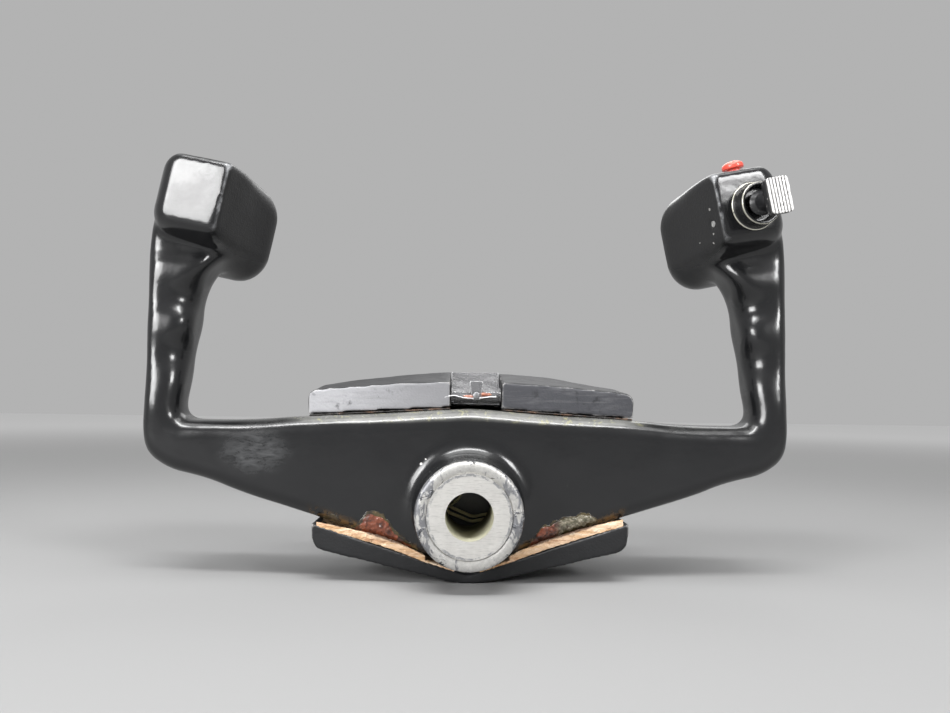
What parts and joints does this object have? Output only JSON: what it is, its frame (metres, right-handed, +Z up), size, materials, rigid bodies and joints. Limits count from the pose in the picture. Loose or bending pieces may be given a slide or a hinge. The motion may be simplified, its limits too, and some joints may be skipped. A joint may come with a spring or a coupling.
{
  "type": "aircraft control wheel",
  "caption": "Ram's horn control wheel with a column hub, a padded centre, finger grooves, a rocking trim switch and a push button.",
  "frame": {"origin": "centre of the hub's machined face, on the axis of the column bore", "axes": "+X to the right and +Z up seen from the instrument panel; -Y out of the bore toward the panel, +Y toward the pilot"},
  "size_m": [0.3294, 0.089, 0.2161],
  "materials": {
    "black_coat": "thick glossy black coat, chipped at edges",
    "machined_aluminium": "turned face, dull and scratched",
    "pad_cover": "satin black padded vinyl with a fine leather grain",
    "dried_adhesive": "old tan and golden adhesive",
    "plate_steel": "plain sheet steel",
    "screw_steel": "zinc plated",
    "clear_plastic": "clear plastic, scuffed",
    "rivet_metal": "dull",
    "collar_black": "black with edges worn bright",
    "housing_plastic": "moulded black",
    "pin_steel": "plain",
    "cap_grey": "silver grey finger cap, dusty between its ribs",
    "lever_dark": "satin dark",
    "spring_steel": "spring wire",
    "terminal_brass": "tinned",
    "button_red": "red moulded plastic",
    "button_metal": "plated barrel",
    "wire_beige": "yellowed lead covering",
    "grommet_rubber": "soft black rubber",
    "splice_sleeve": "crimp sleeve covering"
  },
  "bodies": {
    "wheel": {"wheel_casting": "black_coat", "hub_sleeve": "machined_aluminium", "pad_backing_plate": "plate_steel", "backing_plate_screws": "screw_steel", "center_pad": "pad_cover", "adhesive_strips": "dried_adhesive", "chart_clip": "clear_plastic", "chart_clip_tab": "clear_plastic", "chart_clip_rivet": "rivet_metal", "switch_collar": "collar_black", "switch_housing": "housing_plastic", "switch_pivot_pin": "pin_steel", "switch_centring_spring": "spring_steel", "switch_terminals": "terminal_brass", "switch_set_screw": "screw_steel", "button_body": "button_metal", "button_bezel_nut": "button_metal", "button_spring": "spring_steel", "switch_wires": "wire_beige", "button_wire": "wire_beige", "wire_grommet": "grommet_rubber", "wire_splices": "splice_sleeve"},
    "trim_switch": {"switch_lever": "lever_dark", "switch_cap": "cap_grey"},
    "push_button": {"button_cap": "button_red"}
  },
  "joints": [
    {"name": "trim_switch_rock", "type": "hinge", "parent": "wheel", "child": "trim_switch", "pos_m": [0.14025, 0.03062, 0.15222], "axis": [-0.2138, -0.0339, 0.9763], "range_deg": [-9, 9], "stiffness_Nm_per_rad": 0.05, "deforming": ["switch_centring_spring"]},
    {"name": "push_button_travel", "type": "slide", "parent": "wheel", "child": "push_button", "axis": [0.2138, 0.0339, -0.9763], "range_m": [0, 0.0013], "stiffness_N_per_m": 900, "deforming": ["button_spring"]}
  ]
}
